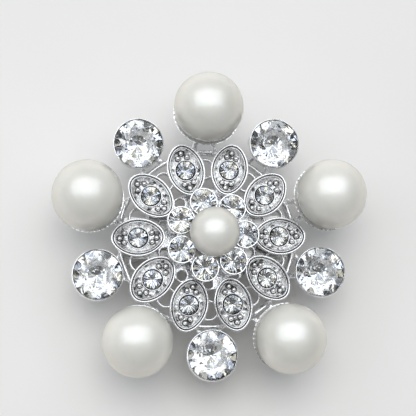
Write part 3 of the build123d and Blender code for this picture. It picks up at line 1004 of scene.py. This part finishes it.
# %% Rosette claws
claw_turns = (0.18, 0.42, 0.58, 0.82)  # round the stone, as shares of a circle from the middle
claw_radius = 0.24
root_drop, root_reach = 0.3, 2.28  # below the girdle, and out from the stone's middle
tip_rise, tip_reach = 0.42, 1.86
claws = []
for node in numbered("accent_stone"):
    seat = middle(node)
    girdle = corners(node)[1].z - accent_size * crown_share
    bearing = atan2(seat.y, seat.x)
    for turn in claw_turns:
        out = Vector((cos(bearing + tau * turn + pi), sin(bearing + tau * turn + pi), 0))
        root = Vector((seat.x, seat.y, girdle - root_drop)) + out * root_reach
        tip = Vector((seat.x, seat.y, girdle + tip_rise)) + out * tip_reach
        claws.append(claw(root, tip, claw_radius))
add_piece("rosette_claws", to_mesh(join(claws), "rosette_claws"), (polished_plate,))
print("claws:", len(claws))

# %% [markdown]
# ## Back frame
#
# The frame is a casting: bars and rings that flow into each other with soft corners. Joining
# separate tubes would show a hard line at each joint. Instead the frame's own bars, the raised
# wires on them and the little bridge plates are put in one mesh, and a voxel remesh grows one
# skin over them all. A light smoothing rounds it off, as tumbling in a barrel does.

# %% Wires and bars
wire_sides = 10


def wire(centre, radius, thick, count=96):
    """A ring of round wire."""
    shell = bmesh.new()
    rows = []
    for step in range(count):
        angle = tau * step / count
        out = Vector((cos(angle), sin(angle), 0))
        row = []
        for k in range(wire_sides):
            side = tau * k / wire_sides
            point = centre + out * (radius + thick * cos(side)) + Vector((0, 0, thick * sin(side)))
            row.append(shell.verts.new(point))
        rows.append(row)
    for here in range(count):
        low, high = rows[here], rows[(here + 1) % count]
        for k in range(wire_sides):
            after = (k + 1) % wire_sides
            shell.faces.new((low[k], high[k], high[after], low[after]))
    return shell


def bar(middle_point, bearing, long, wide, tall):
    """A small plate across a bearing."""
    shell = bmesh.new()
    bmesh.ops.create_cube(shell, size=1)
    turn = Matrix.Rotation(bearing, 4, "Z") @ Matrix.Diagonal((wide, long, tall, 1))
    bmesh.ops.transform(shell, matrix=Matrix.Translation(middle_point) @ turn, verts=shell.verts)
    return shell


print("a wire has", wire_sides, "sides before the skin grows over it")

# %% Gather the frame's metal
outer_wire_inset = 1.75
outer_wire = 0.32  # wire radius
loop_radius = 1.65
loop_wire = 0.28
loop_shift = 0.1
bridge_reach = 15.4
bridge_lift = 0.2
bridge_size = (2.6, 0.55, 0.6)  # long, wide and tall
weld_gap = 0.001  # points closer than this are one
petal_ring = Vector(middle("petal_01").xy).length
step_angle = tau / len(petals)
metal = bmesh.new()
metal.from_mesh(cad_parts["back_frame"].data)
bmesh.ops.scale(metal, vec=(1 / mm, 1 / mm, 1 / mm), verts=metal.verts)
bmesh.ops.remove_doubles(metal, verts=metal.verts, dist=weld_gap)
outer_radius = petal_ring + petal_length / 2 - outer_wire_inset
level = Vector((0, 0, frame_top))
shells = [metal, wire(level, outer_radius, outer_wire, 256)]
for number in range(len(petals)):
    bearing = (number + 0.5) * step_angle
    out = Vector((cos(bearing), sin(bearing), 0))
    shells.append(wire(out * (petal_ring + loop_shift) + level, loop_radius, loop_wire))
    if number % 2 == 0:
        bridge_middle = out * bridge_reach + Vector((0, 0, frame_top + bridge_lift))
        shells.append(bar(bridge_middle, bearing, *bridge_size))
print("pieces of metal to join:", len(shells))

# %% Grow one skin
skin_grain = 0.2  # size of a voxel
smoothing_rounds = 4
mesh = to_mesh(join(shells), "frame_casting")
casting = bpy.data.objects.new("frame_casting_mould", mesh)
bpy.context.scene.collection.objects.link(casting)
remesh = casting.modifiers.new("one_skin", "REMESH")
remesh.mode = "VOXEL"
remesh.voxel_size = skin_grain * mm
soften = casting.modifiers.new("tumbled", "SMOOTH")
soften.factor = 0.5
soften.iterations = smoothing_rounds
bpy.context.view_layer.update()
seen = casting.evaluated_get(bpy.context.evaluated_depsgraph_get())
mesh = bpy.data.meshes.new_from_object(seen)
mesh.name = "frame_casting"
bpy.data.objects.remove(casting)
mesh.shade_smooth()
mesh.materials.clear()
add_piece("frame_casting", mesh, (cast_plate,), ("back_frame",))
print("frame faces:", len(mesh.polygons))

# %% [markdown]
# ## Edges and finish of the pieces that stay
#
# The barrette's stampings and the rosette keep the frame's own shapes. A stamped edge is never
# knife-sharp, so each gets a weld, which joins the faces' loose edges, and a small bevel.

# %% Barrette and rosette
def dress(node, material, edge_mm):
    """Gives a node of the frame its finish and softened edges."""
    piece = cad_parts[node]
    piece.data.materials.clear()
    piece.data.materials.append(material)
    weld = piece.modifiers.new("weld", "WELD")
    weld.merge_threshold = weld_gap * mm
    bevel = piece.modifiers.new("soft_edge", "BEVEL")
    bevel.width = edge_mm * mm
    bevel.segments = 2
    bevel.limit_method = "ANGLE"
    bevel.angle_limit = radians(40)
    bevel.harden_normals = False


for node in ("clip_base", "clip_arm", "tension_bow", "clip_rivets", "hinge_pin"):
    dress(node, clip_steel, 0.08)
for node in ("latch_prong_upper", "latch_prong_lower"):
    dress(node, clip_steel, 0.06)
dress("centre_rosette", polished_plate, 0.05)
softened = [name for name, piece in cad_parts.items() if len(piece.modifiers) > 0]
print("pieces with softened edges:", len(softened))

# %% [markdown]
# ## Camera
#
# The clip lies face up and is seen from almost straight above, from a little in front and to the
# left, with a long lens, which keeps near and far pearls nearly the same size.

# %% Where the camera stands
view_elevation = radians(78.43)
view_bearing = radians(-133.26)  # the side that the camera stands on, from +X
view_distance = 223.95 * mm
view_roll = radians(1.5)
aim = Vector((-0.17, 4.95, petal_rim)) * mm
stand = Vector((
    cos(view_elevation) * cos(view_bearing),
    cos(view_elevation) * sin(view_bearing),
    sin(view_elevation),
))
print(f"the camera stands {view_distance / mm:.0f} mm from its aim")

# %% Camera
lens = bpy.data.cameras.new("camera")
lens.sensor_width = 36
lens.lens = 112.8
lens.clip_start = 0.01
camera = bpy.data.objects.new("camera", lens)
bpy.context.scene.collection.objects.link(camera)
back = stand.normalized()
up = (Vector((0, 1, 0)) - back * back.y).normalized()
turned_up = Matrix.Rotation(-view_roll, 3, back) @ up
side = turned_up.cross(back)
axes = Matrix((side, turned_up, back)).transposed().to_4x4()
camera.matrix_world = Matrix.Translation(aim + stand * view_distance) @ axes
bpy.context.scene.camera = camera
print("camera at", [round(value / mm, 1) for value in camera.matrix_world.translation])

# %% [markdown]
# ## Floor
#
# The floor is a plain pale sheet with the faintest unevenness. It lies a twentieth of a millimetre
# below the closed arm, because two faces at exactly the same height flicker where they meet.

# %% Floor
floor_drop = 0.05 * mm
floor_reach = 1500 * mm


def floor_material():
    """Matt pale board."""
    material, tree, shader = new_material("studio_floor", Specular_IOR_Level=0.3)
    cloud = pattern(tree, "ShaderNodeTexNoise", 60, Detail=3)
    board, lighter_board = (0.74, 0.735, 0.725), (0.78, 0.775, 0.765)
    tone = ramp(tree, cloud.outputs["Fac"], (0.3, board), (0.7, lighter_board))
    tree.links.new(tone, shader.inputs["Base Color"])
    rough = ramp(tree, cloud.outputs["Fac"], (0.3, grey(0.55)), (0.7, grey(0.65)))
    tree.links.new(rough, shader.inputs["Roughness"])
    return material


floor_mesh = bpy.data.meshes.new("floor")
floor_signs = ((-1, -1), (1, -1), (1, 1), (-1, 1))
floor_corners = [(x * floor_reach, y * floor_reach, -floor_drop) for x, y in floor_signs]
floor_mesh.from_pydata(floor_corners, [], [(0, 1, 2, 3)])
floor_mesh.materials.append(floor_material())
floor = bpy.data.objects.new("floor", floor_mesh)
bpy.context.scene.collection.objects.link(floor)
print("floor:", 2 * floor_reach, "m across")

# %% [markdown]
# ## Light
#
# Bright metal and cut stones have no colour of their own and show whatever is round them, so the
# light matters more here than anywhere. One large soft box, above and behind, gives the broad
# shine on the pearls and the white in the stones.

# %% Soft box
def soft_box(name, bearing, elevation, distance, width, depth, power, colour=(1, 1, 1)):
    """A rectangular light that faces the clip."""
    lamp = bpy.data.lights.new(name, "AREA")
    lamp.shape = "RECTANGLE"
    lamp.size, lamp.size_y = width * mm, depth * mm
    lamp.energy = power
    lamp.color = colour
    box = bpy.data.objects.new(name, lamp)
    bpy.context.scene.collection.objects.link(box)
    bearing, elevation = radians(bearing), radians(elevation)
    toward = Vector((cos(elevation) * cos(bearing), cos(elevation) * sin(bearing), sin(elevation)))
    level = Vector((0, 1, 0)).cross(toward).normalized()
    axes = Matrix((level, toward.cross(level), toward)).transposed().to_4x4()
    box.matrix_world = Matrix.Translation(toward * distance * mm) @ axes
    return box


box = soft_box(
    "main_box",
    bearing=112,
    elevation=68,
    distance=900,
    width=1700,
    depth=980,
    power=9.0,
    colour=(0.92, 0.96, 1.0),
)
print("soft box at", [round(value, 2) for value in box.matrix_world.translation], "m")

# %% [markdown]
# ## Fill light
#
# A wide, low-powered sun from nearly overhead lifts the pearls and the floor, which are matt
# underneath. It is hidden from reflections and from the glass, because there it would only make
# burnt-out spots in the facets.

# %% Fill light
fill_lamp = bpy.data.lights.new("fill_lamp", "SUN")
fill_lamp.energy = 1.15
fill_lamp.angle = radians(35)
fill_lamp.color = (1.0, 0.97, 0.92)
fill = bpy.data.objects.new("fill_lamp", fill_lamp)
bpy.context.scene.collection.objects.link(fill)
fill.rotation_euler = Vector((-0.10, 0.22, 0.97)).to_track_quat("Z", "Y").to_euler()
fill.visible_glossy = False
fill.visible_transmission = False
print("fill light strength:", fill_lamp.energy)

# %% [markdown]
# ## The room
#
# The room is grey at eye level and dark overhead, so that the silver has something dark to show as
# well. High up it is broken into lighter and darker panels, like screens and flags hung over a
# jeweller's table. Each facet mirrors one of them, and that is what makes neighbours differ.

# %% Room
world = bpy.data.worlds.new("studio")
world.use_nodes = True
bpy.context.scene.world = world
sky = world.node_tree
background = sky.nodes["Background"]
direction = sky.nodes.new("ShaderNodeTexCoord")
parts = sky.nodes.new("ShaderNodeSeparateXYZ")
sky.links.new(direction.outputs["Generated"], parts.inputs["Vector"])
tone = ramp(sky, parts.outputs["Z"], (0.0, grey(0.4)), (0.4, grey(0.12)))
panels = sky.nodes.new("ShaderNodeTexVoronoi")
panels.inputs["Scale"].default_value = 4.5
sky.links.new(direction.outputs["Generated"], panels.inputs["Vector"])
flags = ramp(sky, panels.outputs["Color"], (0.3, grey(0.25)), (0.75, grey(2.2)))
overhead = ramp(sky, parts.outputs["Z"], (0.15, grey(0)), (0.4, grey(1)))
sky.links.new(mix(sky, "MULTIPLY", overhead, tone, flags), background.inputs["Color"])
background.inputs["Strength"].default_value = 0.8
print("room strength:", background.inputs["Strength"].default_value)
bpy.context.scene.view_settings.view_transform = "Standard"
